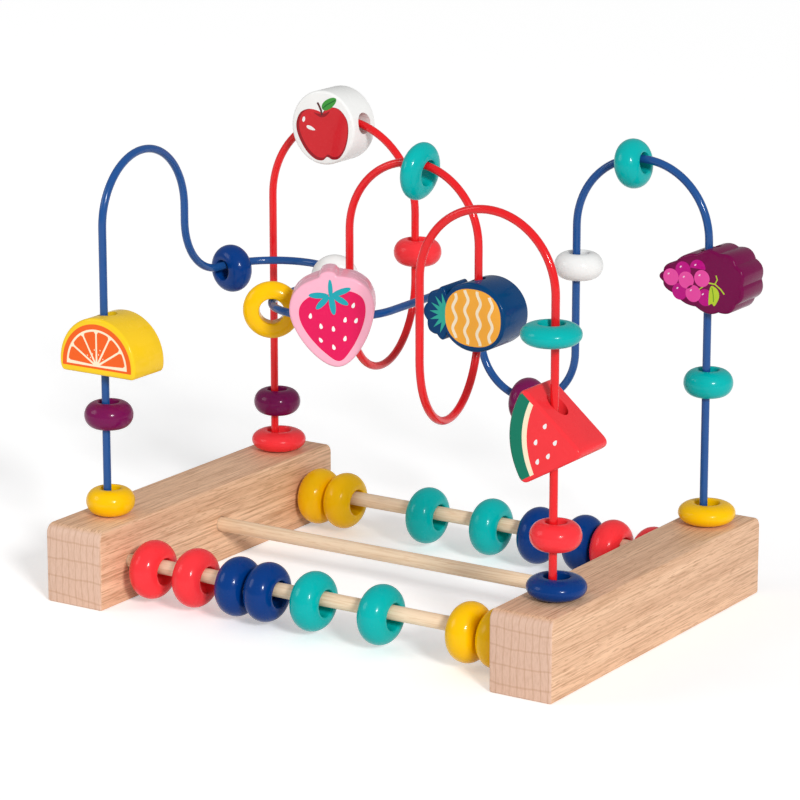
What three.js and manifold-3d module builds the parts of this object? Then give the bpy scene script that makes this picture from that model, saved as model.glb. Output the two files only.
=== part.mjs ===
// Wooden bead maze: two beech blocks joined by three dowels, two bent wires standing in the blocks,
// and round beads and fruit blocks threaded on the dowels and wires.
// Millimetres, +Z up. X runs from the left block to the right one and Y from the front to the back.
// The origin lies on the table, midway between the blocks.
import * as THREE from 'three';
import { mergeVertices } from 'three/addons/utils/BufferGeometryUtils.js';
import Module from 'manifold-3d';

const wasm = await Module();
wasm.setup();

// Beech frame
const FRAME_SPAN = 290.5;
const BLOCK_WIDTH = 33.5;
const BLOCK_LENGTH = 203.5;
const BLOCK_HEIGHT = 40;
const BLOCK_END_RADIUS = 5;
const BLOCK_EDGE = 1.2;
const DOWEL_DIAMETER = 7.3;
const DOWEL_SETBACK = 24.75;
const DOWEL_DEPTH = 12;

// Wires
const WIRE_DIAMETER = 4;
const POST_SETBACK = 28.75;
const POST_DEPTH = 13;

// Blue wire: an arch over the left block, a flat weave, a dip at the back and an arch at the right
const BLUE_TOP = 219.5;
const BLUE_FRONT_ARCH = 34;
const BLUE_FRONT_DROP = 8;
const DROP_BEND = 29;
const WEAVE_LEAD = 1.5;
const WEAVE_BEND = 32;
const WEAVE_REACH = 42.5;
const WEAVE_CLEAR = 32.5;
const DIP_ENTRY_BEND = 22;
const DIP_ENTRY_DROP = 9;
const BLUE_BACK_ARCH = 37;

// Red wire: a corkscrew of three arches, from the back left post to the front right one
const RED_BACK_TOP = 222;
const RED_MIDDLE_TOP = 220.5;
const RED_FRONT_TOP = 219.5;
const RED_MIDDLE_ARCH = 37.25;
const RED_FRONT_ARCH = 36.5;
const BACK_LOOP_STEP = 8.5;
const BACK_LOOP_RUN = 34.3;
const FRONT_LOOP_STEP = 13;
const FRONT_LOOP_RUN = 39;

// Turned beads: outer diameter, thickness and bore
const DOWEL_BEAD = { outer: 29.5, thick: 15.3, bore: 12.6 };
const BARREL = { outer: 24.5, thick: 13.3, bore: 9.5 };
const RING = { outer: 28.6, thick: 10.3, bore: 12 };
const BEAD_LIP = 1.4;

// Fruit blocks: thickness, outline sizes and bore
const FRUIT_BORE = 10;
const FRUIT_EDGE = 1.4;
const ORANGE = { thick: 25, radius: 23, foot: 5.5, shift: 2.5 };
const STRAWBERRY = { thick: 20, width: 41, tall: 47.5, lean: 7, play: 0.45 };
const PINEAPPLE = { thick: 22.4, width: 36.5, tall: 34, crown: 13, leaves: 4, shift: 5 };
const APPLE = { thick: 20.5, diameter: 38.6, bore: 11 };
const GRAPE = { thick: 22, width: 47, tall: 32, ripple: 1.3, lobes: 11, shift: 0.5 };
const MELON = { thick: 26, width: 36, tall: 45.5, rind: 9, round: 3, shift: 0.8 };

// Fits
const FIT_GAP = 0.3;
const ROUND_SIDES = 16;
const WIRE_SIDES = 8;
const BEND_STEP = 18;

const COLOURS = {
  beech: '#deb896',
  dowel: '#e8cba8',
  blueWire: '#2b5aa0',
  redWire: '#f0282d',
  coral: '#f8464b',
  navy: '#003773',
  teal: '#08b2a5',
  yellow: '#ffb20f',
  purple: '#6e0a50',
  white: '#f4f4f2',
  pink: '#f58fa5',
  plum: '#5c1450',
};

const postX = FRAME_SPAN / 2 - BLOCK_WIDTH / 2;
const postY = BLOCK_LENGTH / 2 - POST_SETBACK;
const dowelY = BLOCK_LENGTH / 2 - DOWEL_SETBACK;
const dowelZ = BLOCK_HEIGHT / 2;
const innerFace = FRAME_SPAN / 2 - BLOCK_WIDTH;
const wireFoot = BLOCK_HEIGHT - POST_DEPTH + FIT_GAP;
const degrees = Math.PI / 180;
const axisX = new THREE.Vector3(1, 0, 0);
const axisY = new THREE.Vector3(0, 1, 0);
const axisZ = new THREE.Vector3(0, 0, 1);
const object = new THREE.Group();
object.name = 'bead_maze';

function addPiece(name, geometry, colour, roughness, metalness = 0) {
  const material = new THREE.MeshStandardMaterial({ color: COLOURS[colour], roughness, metalness });
  const mesh = new THREE.Mesh(geometry, material);
  mesh.name = name;
  object.add(mesh);
  return mesh;
}

function solid(geometry) {
  const bare = new THREE.BufferGeometry();
  bare.setAttribute('position', geometry.getAttribute('position').clone());
  bare.setIndex(geometry.index);
  const welded = mergeVertices(bare, 1e-3);
  const mesh = new wasm.Mesh({
    numProp: 3,
    vertProperties: new Float32Array(welded.attributes.position.array),
    triVerts: new Uint32Array(welded.index.array),
  });
  mesh.merge();
  return new wasm.Manifold(mesh);
}

function geometryOf(body) {
  const mesh = body.getMesh();
  const geometry = new THREE.BufferGeometry();
  geometry.setAttribute('position', new THREE.BufferAttribute(mesh.vertProperties, 3));
  geometry.setIndex(new THREE.BufferAttribute(mesh.triVerts, 1));
  geometry.computeVertexNormals();
  return geometry;
}

// A round rod of a given diameter from one point to another.
function rod(diameter, start, end) {
  const along = end.clone().sub(start);
  const length = along.length();
  const geometry = new THREE.CylinderGeometry(diameter / 2, diameter / 2, length, ROUND_SIDES);
  geometry.applyQuaternion(new THREE.Quaternion().setFromUnitVectors(axisY, along.divideScalar(length)));
  const middle = start.clone().add(end).multiplyScalar(0.5);
  return geometry.translate(middle.x, middle.y, middle.z);
}

function drilled(geometry, holes) {
  let body = solid(geometry);
  for (const hole of holes) {
    body = body.subtract(solid(hole));
  }
  return geometryOf(body);
}

// How far a bead can sit off the middle of the rod or wire through its faceted bore.
function slack(bore, core) {
  return (bore / 2) * Math.cos(Math.PI / ROUND_SIDES) - core / 2 - FIT_GAP;
}

// Beech blocks: the long top edges at the two ends are well rounded, the others only eased.
function blockGeometry(side) {
  const half = BLOCK_LENGTH / 2 - BLOCK_EDGE;
  const top = BLOCK_HEIGHT - BLOCK_EDGE;
  const round = BLOCK_END_RADIUS - BLOCK_EDGE;
  const outline = new THREE.Shape();
  outline.moveTo(-half, BLOCK_EDGE);
  outline.lineTo(half, BLOCK_EDGE);
  outline.lineTo(half, top - round);
  outline.absarc(half - round, top - round, round, 0, Math.PI / 2);
  outline.lineTo(-half + round, top);
  outline.absarc(-half + round, top - round, round, Math.PI / 2, Math.PI);
  outline.closePath();
  const geometry = new THREE.ExtrudeGeometry(outline, {
    depth: BLOCK_WIDTH - 2 * BLOCK_EDGE,
    curveSegments: 2,
    bevelThickness: BLOCK_EDGE,
    bevelSize: BLOCK_EDGE,
    bevelSegments: 2,
  });
  geometry.translate(0, 0, BLOCK_EDGE - BLOCK_WIDTH / 2);
  geometry.rotateX(Math.PI / 2).rotateZ(Math.PI / 2);
  geometry.translate(side * postX, 0, 0);
  const holes = [];
  for (const y of [-dowelY, 0, dowelY]) {
    const start = new THREE.Vector3(side * (innerFace - 1), y, dowelZ);
    const end = new THREE.Vector3(side * (innerFace + DOWEL_DEPTH), y, dowelZ);
    holes.push(rod(DOWEL_DIAMETER + 2 * FIT_GAP, start, end));
  }
  for (const y of [-postY, postY]) {
    const start = new THREE.Vector3(side * postX, y, BLOCK_HEIGHT + 1);
    const end = new THREE.Vector3(side * postX, y, BLOCK_HEIGHT - POST_DEPTH);
    holes.push(rod(WIRE_DIAMETER + 2 * FIT_GAP, start, end));
  }
  return drilled(geometry, holes);
}

addPiece('left_block', blockGeometry(-1), 'beech', 0.55);
addPiece('right_block', blockGeometry(1), 'beech', 0.55);

for (const [name, y] of [['front_dowel', -dowelY], ['centre_dowel', 0], ['back_dowel', dowelY]]) {
  const reach = innerFace + DOWEL_DEPTH - FIT_GAP;
  const start = new THREE.Vector3(-reach, y, dowelZ);
  const end = new THREE.Vector3(reach, y, dowelZ);
  addPiece(name, rod(DOWEL_DIAMETER, start, end), 'dowel', 0.55);
}

// Centre line of a bent wire: straight runs between corners, each corner turned on an arc that
// touches both runs. Stations stand at the ends of the runs and every few degrees of each arc.
class WireRoute extends THREE.Curve {
  constructor(corners) {
    super();
    this.points = [];
    this.headings = [];
    const at = corners.map(([x, y, z]) => new THREE.Vector3(x, y, z));
    const headings = at.slice(1).map((point, i) => point.clone().sub(at[i]).normalize());
    this.station(at[0], headings[0]);
    for (let i = 1; i < at.length - 1; i += 1) {
      const arriving = headings[i - 1];
      const leaving = headings[i];
      const turn = arriving.angleTo(leaving);
      const radius = corners[i][3];
      const setback = radius * Math.tan(turn / 2);
      const axis = arriving.clone().cross(leaving).normalize();
      const start = at[i].clone().addScaledVector(arriving, -setback);
      const centre = start.clone().addScaledVector(axis.clone().cross(arriving), radius);
      const steps = Math.ceil(turn / (BEND_STEP * degrees) - 1e-6);
      for (let step = 0; step <= steps; step += 1) {
        const angle = (turn * step) / steps;
        const point = start.clone().sub(centre).applyAxisAngle(axis, angle).add(centre);
        this.station(point, arriving.clone().applyAxisAngle(axis, angle));
      }
    }
    this.station(at[at.length - 1], headings[headings.length - 1]);
  }

  station(point, heading) {
    const last = this.points[this.points.length - 1];
    if (!last || last.distanceTo(point) > 0.2) {
      this.points.push(point);
      this.headings.push(heading);
    }
  }

  getUtoTmapping(u) {
    return u;
  }

  getPoint(t) {
    return this.points[Math.round(t * (this.points.length - 1))].clone();
  }

  getTangent(t) {
    return this.headings[Math.round(t * (this.points.length - 1))].clone();
  }
}

function wireGeometry(corners) {
  const section = [];
  for (let i = 0; i < WIRE_SIDES; i += 1) {
    const angle = (2 * Math.PI * (i + 0.5)) / WIRE_SIDES;
    section.push(new THREE.Vector2(Math.cos(angle), Math.sin(angle)).multiplyScalar(WIRE_DIAMETER / 2));
  }
  const route = new WireRoute(corners);
  return new THREE.ExtrudeGeometry(new THREE.Shape(section), {
    steps: route.points.length - 1,
    extrudePath: route,
  });
}

// Where the wires stand. Both follow the right posts, and the arch and bend at the left take up the
// rest of the frame's length. The weave goes round the left leg of the middle arch.
const frontLegX = postX - 2 * RED_FRONT_ARCH;
const pineappleX = frontLegX - FRONT_LOOP_STEP;
const middleLegX = pineappleX - 2 * RED_MIDDLE_ARCH;
const backLegX = middleLegX - BACK_LOOP_STEP;
const middleX = middleLegX - WEAVE_CLEAR;
const dipX = middleX + 2 * WEAVE_BEND;
const blueLegX = postX - 2 * BLUE_BACK_ARCH;

// Blue wire
const blueArchY = 2 * BLUE_FRONT_ARCH - postY;
const weaveZ = BLUE_TOP - BLUE_FRONT_ARCH - BLUE_FRONT_DROP - DROP_BEND;
const farBendRadius = (middleX + postX) / 2;
const farY = blueArchY + DROP_BEND + WEAVE_LEAD + farBendRadius;
const nearY = -WEAVE_REACH;
const dipRadius = (blueLegX - dipX) / 2;
const dipZ = weaveZ - DIP_ENTRY_BEND - DIP_ENTRY_DROP - dipRadius;
addPiece('blue_wire', wireGeometry([
  [-postX, -postY, wireFoot],
  [-postX, -postY, BLUE_TOP, BLUE_FRONT_ARCH],
  [-postX, blueArchY, BLUE_TOP, BLUE_FRONT_ARCH],
  [-postX, blueArchY, weaveZ, DROP_BEND],
  [-postX, farY, weaveZ, farBendRadius],
  [middleX, farY, weaveZ, farBendRadius],
  [middleX, nearY, weaveZ, WEAVE_BEND],
  [dipX, nearY, weaveZ, WEAVE_BEND],
  [dipX, postY, weaveZ, DIP_ENTRY_BEND],
  [dipX, postY, dipZ, dipRadius],
  [blueLegX, postY, dipZ, dipRadius],
  [blueLegX, postY, BLUE_TOP, BLUE_BACK_ARCH],
  [postX, postY, BLUE_TOP, BLUE_BACK_ARCH],
  [postX, postY, wireFoot],
]), 'blueWire', 0.35, 0.1);

// Red wire
const redBackArch = (backLegX + postX) / 2;
const backLoopRadius = Math.hypot(postY, BACK_LOOP_STEP) / 2;
const frontLoopRadius = Math.hypot(postY, FRONT_LOOP_STEP) / 2;
const redBackSpring = RED_BACK_TOP - redBackArch;
const redMiddleSpring = RED_MIDDLE_TOP - RED_MIDDLE_ARCH;
const redFrontSpring = RED_FRONT_TOP - RED_FRONT_ARCH;
const backLoopZ = Math.min(redBackSpring, redMiddleSpring) - BACK_LOOP_RUN - backLoopRadius;
const frontLoopZ = Math.min(redMiddleSpring, redFrontSpring) - FRONT_LOOP_RUN - frontLoopRadius;
addPiece('red_wire', wireGeometry([
  [-postX, postY, wireFoot],
  [-postX, postY, RED_BACK_TOP, redBackArch],
  [backLegX, postY, RED_BACK_TOP, redBackArch],
  [backLegX, postY, backLoopZ, backLoopRadius],
  [middleLegX, 0, backLoopZ, backLoopRadius],
  [middleLegX, 0, RED_MIDDLE_TOP, RED_MIDDLE_ARCH],
  [pineappleX, 0, RED_MIDDLE_TOP, RED_MIDDLE_ARCH],
  [pineappleX, 0, frontLoopZ, frontLoopRadius],
  [frontLegX, -postY, frontLoopZ, frontLoopRadius],
  [frontLegX, -postY, RED_FRONT_TOP, RED_FRONT_ARCH],
  [postX, -postY, RED_FRONT_TOP, RED_FRONT_ARCH],
  [postX, -postY, wireFoot],
]), 'redWire', 0.35, 0.1);

// A turned bead with its bore along Z, domed outside and eased where the bore comes out.
function beadGeometry({ outer, thick, bore }) {
  const wall = bore / 2;
  const half = thick / 2;
  const rim = wall + BEAD_LIP;
  const profile = [new THREE.Vector2(wall, -half + BEAD_LIP)];
  for (let i = 0; i <= 6; i += 1) {
    const angle = ((i - 3) / 3) * (Math.PI / 2);
    profile.push(new THREE.Vector2(rim + (outer / 2 - rim) * Math.cos(angle), half * Math.sin(angle)));
  }
  profile.push(new THREE.Vector2(wall, half - BEAD_LIP));
  profile.push(profile[0].clone());
  return new THREE.LatheGeometry(profile, ROUND_SIDES).rotateX(Math.PI / 2);
}

// A flat block with a fruit's outline: outline X is its width, outline Y its height.
function fruitGeometry(outline, thick, bore) {
  const geometry = new THREE.ExtrudeGeometry(outline, {
    depth: thick - 2 * FRUIT_EDGE,
    curveSegments: 4,
    bevelThickness: FRUIT_EDGE,
    bevelSize: FRUIT_EDGE,
    bevelOffset: -FRUIT_EDGE,
    bevelSegments: 2,
  });
  geometry.translate(0, 0, FRUIT_EDGE - thick / 2);
  geometry.rotateX(Math.PI / 2);
  return drilled(geometry, [bore]);
}

function orangeOutline() {
  const { radius, foot, shift } = ORANGE;
  const corner = 2 * FRUIT_EDGE;
  const shape = new THREE.Shape();
  shape.moveTo(shift - radius + corner, 0);
  shape.lineTo(shift + radius - corner, 0);
  shape.quadraticCurveTo(shift + radius, 0, shift + radius, foot);
  shape.absarc(shift, foot, radius, 0, Math.PI);
  shape.quadraticCurveTo(shift - radius, 0, shift - radius + corner, 0);
  return shape;
}

// The strawberry rides on the near bend of the weave. Its straight bore is wide enough for the bend.
const strawberrySagitta = WEAVE_BEND - Math.sqrt(WEAVE_BEND ** 2 - (STRAWBERRY.width / 2) ** 2);
const strawberryFree = WIRE_DIAMETER + strawberrySagitta + 2 * (FIT_GAP + STRAWBERRY.play);
const strawberryBore = strawberryFree / Math.cos(Math.PI / ROUND_SIDES);

function strawberryOutline() {
  const { width, tall, lean } = STRAWBERRY;
  const half = width / 2;
  const middle = tall / 2;
  const place = (x, y) => {
    const point = new THREE.Vector2(x * half, y * middle);
    return point.rotateAround(new THREE.Vector2(), lean * degrees);
  };
  const curve = (shape, a, b, c) => {
    shape.bezierCurveTo(a.x, a.y, b.x, b.y, c.x, c.y);
  };
  const shape = new THREE.Shape();
  const tip = place(0, -1);
  shape.moveTo(tip.x, tip.y);
  curve(shape, place(0.45, -0.98), place(1, -0.3), place(1, 0.2));
  curve(shape, place(1, 0.62), place(0.6, 0.86), place(0.2, 0.88));
  curve(shape, place(0.15, 1.03), place(-0.15, 1.03), place(-0.2, 0.88));
  curve(shape, place(-0.6, 0.86), place(-1, 0.62), place(-1, 0.2));
  curve(shape, place(-1, -0.3), place(-0.45, -0.98), tip);
  return shape;
}

// The pineapple lies on its side: an oval body and, past a neck, a crown with a scalloped edge.
function pineappleOutline() {
  const { width, tall, crown, leaves, shift } = PINEAPPLE;
  const middle = tall / 2;
  const neckAngle = 145 * degrees;
  const neckX = shift + (width / 2) * Math.cos(neckAngle);
  const neckY = middle * Math.sin(neckAngle);
  const fan = 84 * degrees;
  const leafTip = (i) => {
    const angle = Math.PI - fan + (2 * fan * i) / leaves;
    return new THREE.Vector2(neckX + crown * 0.9 * Math.cos(angle), middle + middle * 0.72 * Math.sin(angle));
  };
  const shape = new THREE.Shape();
  shape.moveTo(neckX, middle - neckY);
  shape.absellipse(shift, middle, width / 2, middle, -neckAngle, 0);
  shape.absellipse(shift, middle, width / 2, middle, 0, neckAngle);
  for (let i = 0; i <= leaves; i += 1) {
    const start = shape.currentPoint.clone();
    const end = i < leaves ? leafTip(i + 0.5) : new THREE.Vector2(neckX, middle - neckY);
    const bump = leafTip(i).sub(new THREE.Vector2(neckX, middle)).multiplyScalar(1.32);
    shape.quadraticCurveTo(neckX + bump.x, middle + bump.y, end.x, end.y);
  }
  return shape;
}

// The bunch of grapes: an egg shape, pointed at the left, with a row of round bumps along its edge.
function grapeOutline() {
  const { width, tall, ripple, lobes, shift } = GRAPE;
  const points = [];
  for (let i = 0; i < lobes * 3; i += 1) {
    const angle = (2 * Math.PI * i) / (lobes * 3);
    const notch = ripple * (1 - Math.abs(Math.sin((lobes * angle) / 2)));
    const x = shift + (width / 2 - notch) * Math.cos(angle);
    const y = tall / 2 + (tall / 2 - notch) * Math.sin(angle) * (0.95 + 0.33 * Math.cos(angle));
    points.push(new THREE.Vector2(x, y));
  }
  return new THREE.Shape(points);
}

// The wedge of melon: a bulging rind at the left and two flat sides that meet in a rounded point.
function melonOutline() {
  const { width, tall, rind, round, shift } = MELON;
  const left = shift - width / 2;
  const corners = [[left + rind * 0.75, 0], [left + width + round, tall * 0.4], [left + rind * 0.75, tall]];
  const [low, tip, high] = corners.map(([x, y]) => new THREE.Vector2(x, y));
  const towards = (from, to, run) => from.clone().lerp(to, run / from.distanceTo(to));
  const lowEnd = towards(low, tip, round);
  const tipStart = towards(tip, low, 2 * round);
  const tipEnd = towards(tip, high, 2 * round);
  const highStart = towards(high, tip, round);
  const bulge = left - rind * 0.75;
  const shape = new THREE.Shape();
  shape.moveTo(lowEnd.x, lowEnd.y);
  shape.lineTo(tipStart.x, tipStart.y);
  shape.quadraticCurveTo(tip.x, tip.y, tipEnd.x, tipEnd.y);
  shape.lineTo(highStart.x, highStart.y);
  shape.quadraticCurveTo(high.x, high.y, high.x - round * 0.7, high.y - round * 0.8);
  shape.quadraticCurveTo(bulge, tall / 2, low.x - round * 0.7, low.y + round * 0.8);
  shape.quadraticCurveTo(low.x, low.y, lowEnd.x, lowEnd.y);
  return shape;
}

// Apple drum: a round block lying on its side, drilled across.
function appleGeometry() {
  const radius = APPLE.diameter / 2;
  const half = APPLE.thick / 2;
  const profile = [new THREE.Vector2(0, -half)];
  for (const angle of [-90, -45, 0]) {
    const x = radius - FRUIT_EDGE + FRUIT_EDGE * Math.cos(angle * degrees);
    profile.push(new THREE.Vector2(x, -half + FRUIT_EDGE + FRUIT_EDGE * Math.sin(angle * degrees)));
  }
  for (const point of profile.slice().reverse()) {
    profile.push(new THREE.Vector2(point.x, -point.y));
  }
  const drum = new THREE.LatheGeometry(profile, 1.5 * ROUND_SIDES);
  const start = new THREE.Vector3(-radius - 1, 0, 0);
  const end = new THREE.Vector3(radius + 1, 0, 0);
  return drilled(drum, [rod(APPLE.bore, start, end)]);
}

// Splits the free length of a run into the gaps between its pieces, in the given proportions.
// A piece with a share of 0 rests against the one before it.
function threadRun(low, high, pieces, endShare) {
  const taken = pieces.reduce((sum, piece) => sum + piece.length, 0);
  const shares = pieces.reduce((sum, piece) => sum + piece.share, endShare);
  const free = high - low - taken - (pieces.length + 1) * FIT_GAP;
  let at = low;
  for (const piece of pieces) {
    at += FIT_GAP + (free * piece.share) / shares;
    piece.put(at);
    at += piece.length;
  }
}

// Beads on the outer dowels, from left to right. They hang on the dowel.
function dowelRow(row, y, beads, endShare) {
  const drop = slack(DOWEL_BEAD.bore, DOWEL_DIAMETER);
  const pieces = beads.map(([name, colour, share]) => ({
    length: DOWEL_BEAD.thick,
    share,
    put(at) {
      const bead = addPiece(`${row}_${name}`, beadGeometry(DOWEL_BEAD), colour, 0.25);
      bead.rotation.y = Math.PI / 2;
      bead.position.set(at + DOWEL_BEAD.thick / 2, y, dowelZ - drop);
    },
  }));
  threadRun(-innerFace, innerFace, pieces, endShare);
}

dowelRow('front', -dowelY, [
  ['coral_bead_1', 'coral', 6.1],
  ['coral_bead_2', 'coral', 10.7],
  ['blue_bead_1', 'navy', 10.2],
  ['blue_bead_2', 'navy', 1.5],
  ['teal_bead_1', 'teal', 11.9],
  ['teal_bead_2', 'teal', 23.7],
  ['yellow_bead_1', 'yellow', 34.7],
  ['yellow_bead_2', 'yellow', 1],
], 1.3);
dowelRow('back', dowelY, [
  ['yellow_bead_1', 'yellow', 1.1],
  ['yellow_bead_2', 'yellow', 0.7],
  ['teal_bead_1', 'teal', 36.7],
  ['teal_bead_2', 'teal', 23.7],
  ['blue_bead_1', 'navy', 13.2],
  ['blue_bead_2', 'navy', 11.2],
  ['coral_bead_1', 'coral', 0.7],
  ['coral_bead_2', 'coral', 7.7],
], 6.1);

// Pieces on an upright run of wire, from low to high. Each leans on the wire from one side:
// lean is 1 when it sits behind the wire and -1 when it sits in front of it.
function bead(name, kind, colour, share, lean = 1) {
  const geometry = beadGeometry(kind).translate(0, 0, kind.thick / 2);
  return { name, colour, share, lean, bore: kind.bore, length: kind.thick, geometry };
}

function fruit(name, shape, outline, colour, share, lean = 1) {
  const tall = shape.tall ?? shape.radius + shape.foot;
  const bore = rod(FRUIT_BORE, new THREE.Vector3(0, 0, -5), new THREE.Vector3(0, 0, tall + 5));
  const geometry = fruitGeometry(outline, shape.thick, bore);
  geometry.computeBoundingBox();
  const { min, max } = geometry.boundingBox;
  geometry.translate(0, 0, -min.z);
  return { name, colour, share, lean, bore: FRUIT_BORE, length: max.z - min.z, geometry };
}

function upright(x, y, low, high, pieces, endShare) {
  for (const piece of pieces) {
    piece.put = (at) => {
      const mesh = addPiece(piece.name, piece.geometry, piece.colour, 0.25);
      const offset = piece.lean * slack(piece.bore, WIRE_DIAMETER);
      mesh.position.set(x, y + offset, at);
    };
  }
  threadRun(low, high, pieces, endShare);
}

// How far below the start of a bend a straight bore can still pass over the curving wire.
function overBend(radius) {
  const play = 2 * slack(FRUIT_BORE, WIRE_DIAMETER);
  return Math.sqrt(radius ** 2 - (radius - play) ** 2);
}

upright(-postX, -postY, BLOCK_HEIGHT, BLUE_TOP - BLUE_FRONT_ARCH, [
  bead('left_front_yellow_bead', BARREL, 'yellow', 0),
  bead('left_front_purple_bead', BARREL, 'purple', 31),
  fruit('orange_block', ORANGE, orangeOutline(), 'yellow', 16),
], 43);
upright(-postX, postY, BLOCK_HEIGHT, redBackSpring, [
  bead('left_back_coral_ring', RING, 'coral', 0),
  bead('left_back_purple_bead', BARREL, 'purple', 9),
], 104.7);
upright(backLegX, postY, backLoopZ + backLoopRadius, redBackSpring, [
  bead('red_arch_coral_bead', BARREL, 'coral', 7),
], 14);
upright(pineappleX, 0, frontLoopZ + frontLoopRadius - overBend(frontLoopRadius), redMiddleSpring, [
  fruit('pineapple_block', PINEAPPLE, pineappleOutline(), 'navy', 9.3, -1),
], 14.7);
upright(postX, -postY, BLOCK_HEIGHT, redFrontSpring, [
  bead('right_front_blue_ring', RING, 'navy', 0),
  bead('right_front_coral_bead', BARREL, 'coral', 13),
  fruit('watermelon_block', MELON, melonOutline(), 'coral', 19.8),
  bead('right_front_teal_ring', RING, 'teal', 21.3, -1),
], 10.9);
upright(postX, postY, BLOCK_HEIGHT, BLUE_TOP - BLUE_BACK_ARCH, [
  bead('right_back_yellow_ring', RING, 'yellow', 0),
  bead('right_back_teal_bead', BARREL, 'teal', 54.5),
  fruit('grape_block', GRAPE, grapeOutline(), 'plum', 30),
], 1.9);
upright(blueLegX, postY, dipZ + dipRadius, BLUE_TOP - BLUE_BACK_ARCH, [
  bead('blue_leg_white_bead', BARREL, 'white', 37.7),
], 14);

// Pieces on a bend: angle is measured from the bend's zero direction about its axis.
// They hang on the wire, so each sits off it along the given direction. A long piece on a level bend
// straddles the wire, which passes its bore's middle on one side and its ends on the other.
function onBend(name, geometry, colour, bend, angle, kind) {
  const spoke = bend.zero.clone().applyAxisAngle(bend.axis, angle * degrees);
  const heading = bend.axis.clone().cross(spoke);
  const mesh = addPiece(name, geometry, colour, 0.25);
  const sagitta = kind.thick ** 2 / 8 / bend.radius;
  const hang = slack(kind.bore, WIRE_DIAMETER) - (bend.hang === 'out' ? sagitta : 0);
  mesh.position.copy(bend.centre).addScaledVector(spoke, bend.radius);
  const away = { in: spoke.clone().negate(), out: spoke, down: axisZ.clone().negate() }[bend.hang];
  if (kind.straddles) {
    mesh.position.addScaledVector(spoke, -kind.straddles / 2);
    mesh.rotation.z = Math.atan2(heading.y, heading.x);
  } else {
    mesh.position.addScaledVector(away, hang);
    mesh.quaternion.setFromUnitVectors(axisZ, heading);
  }
  return mesh;
}

const farBend = {
  centre: new THREE.Vector3(farBendRadius - postX, farY - farBendRadius, weaveZ),
  radius: farBendRadius,
  axis: axisZ,
  zero: axisX,
  hang: 'down',
};
const nearBend = {
  ...farBend,
  centre: new THREE.Vector3(middleX + WEAVE_BEND, nearY + WEAVE_BEND, weaveZ),
  radius: WEAVE_BEND,
};
const dip = {
  centre: new THREE.Vector3((dipX + blueLegX) / 2, postY, dipZ + dipRadius),
  radius: dipRadius,
  axis: axisY.clone().negate(),
  zero: axisZ.clone().negate(),
  hang: 'out',
};
const blueArch = {
  centre: new THREE.Vector3(postX - BLUE_BACK_ARCH, postY, BLUE_TOP - BLUE_BACK_ARCH),
  radius: BLUE_BACK_ARCH,
  axis: axisY,
  zero: axisZ,
  hang: 'in',
};
const middleArch = {
  ...blueArch,
  centre: new THREE.Vector3(middleLegX + RED_MIDDLE_ARCH, 0, redMiddleSpring),
  radius: RED_MIDDLE_ARCH,
};
const backArch = {
  ...blueArch,
  centre: new THREE.Vector3(redBackArch - postX, postY, redBackSpring),
  radius: redBackArch,
};

onBend('weave_blue_bead', beadGeometry(BARREL), 'navy', farBend, 165, BARREL);
onBend('weave_white_bead', beadGeometry(BARREL), 'white', farBend, 33, BARREL);
onBend('weave_yellow_ring', beadGeometry(RING), 'yellow', nearBend, 213, RING);
const strawberryReach = new THREE.Vector3(STRAWBERRY.width, 0, 0);
const strawberryHole = rod(strawberryBore, strawberryReach.clone().negate(), strawberryReach);
const strawberryGeometry = fruitGeometry(strawberryOutline(), STRAWBERRY.thick, strawberryHole);
const strawberry = { bore: strawberryBore, thick: STRAWBERRY.width, straddles: strawberrySagitta };
onBend('strawberry_block', strawberryGeometry, 'pink', nearBend, 301, strawberry);
onBend('dip_purple_bead', beadGeometry(BARREL), 'purple', dip, 0, BARREL);
onBend('blue_arch_teal_bead', beadGeometry(BARREL), 'teal', blueArch, -9, BARREL);
onBend('red_arch_teal_ring', beadGeometry(RING), 'teal', middleArch, 6.5, RING);
const apple = { bore: APPLE.bore, thick: APPLE.diameter };
onBend('apple_block', appleGeometry().rotateY(-Math.PI / 2), 'white', backArch, -8, apple);

export default object;
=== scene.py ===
import math

import bmesh
import bpy
from mathutils import Matrix, Vector


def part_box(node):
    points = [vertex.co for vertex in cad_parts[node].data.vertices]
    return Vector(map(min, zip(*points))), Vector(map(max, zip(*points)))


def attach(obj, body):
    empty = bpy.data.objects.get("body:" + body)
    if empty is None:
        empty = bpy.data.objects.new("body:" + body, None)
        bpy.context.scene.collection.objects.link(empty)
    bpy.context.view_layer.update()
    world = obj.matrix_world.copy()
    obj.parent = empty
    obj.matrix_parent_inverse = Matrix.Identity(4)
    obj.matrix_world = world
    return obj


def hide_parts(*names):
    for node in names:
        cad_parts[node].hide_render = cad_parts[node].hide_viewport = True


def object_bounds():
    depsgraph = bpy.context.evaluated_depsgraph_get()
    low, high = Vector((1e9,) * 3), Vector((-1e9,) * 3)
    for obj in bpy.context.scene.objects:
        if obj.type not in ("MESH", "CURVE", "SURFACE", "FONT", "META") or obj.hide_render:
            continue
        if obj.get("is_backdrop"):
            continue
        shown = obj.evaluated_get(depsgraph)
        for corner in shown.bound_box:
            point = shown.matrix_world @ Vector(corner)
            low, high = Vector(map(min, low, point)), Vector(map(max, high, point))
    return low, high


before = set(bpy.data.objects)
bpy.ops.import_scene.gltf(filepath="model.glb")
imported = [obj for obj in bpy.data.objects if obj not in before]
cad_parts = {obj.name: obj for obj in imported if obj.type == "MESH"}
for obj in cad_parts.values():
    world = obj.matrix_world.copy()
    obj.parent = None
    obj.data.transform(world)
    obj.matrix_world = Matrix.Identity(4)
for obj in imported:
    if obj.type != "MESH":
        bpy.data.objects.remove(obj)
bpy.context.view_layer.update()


# Table top and studio: a pale seamless sheet under the toy, one key lamp low at the front right,
# a weaker one at the left and a soft sky, so that the glossy paint gets small clean highlights.
scene = bpy.context.scene
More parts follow.
